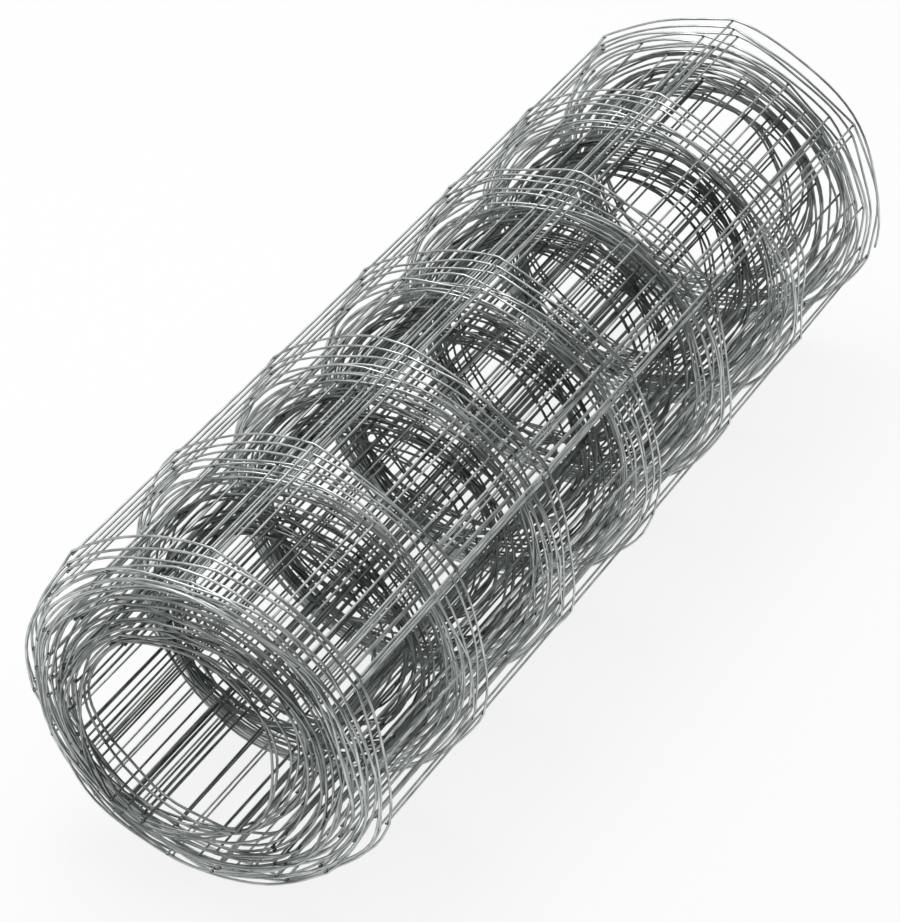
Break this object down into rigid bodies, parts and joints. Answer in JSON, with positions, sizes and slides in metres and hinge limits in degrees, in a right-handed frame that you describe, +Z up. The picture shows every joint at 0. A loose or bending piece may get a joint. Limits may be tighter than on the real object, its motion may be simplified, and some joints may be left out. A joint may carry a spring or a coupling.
{
  "type": "roll of wire fencing",
  "caption": "Roll of galvanised wire mesh fencing lying on its side: line wires and stays wound in loose turns around an open bore.",
  "frame": {"origin": "on the floor under the middle of the roll as it lies", "axes": "+X along the roll's axis, from the end whose inner turns stand out to the end whose inner turns are drawn in; +Z up"},
  "size_m": [0.945, 0.3394, 0.3406],
  "materials": {
    "galvanised_wire": "dull galvanised zinc, grey with a faint green-blue cast"
  },
  "bodies": {
    "root": {"fence_roll": "galvanised_wire"}
  },
  "joints": []
}
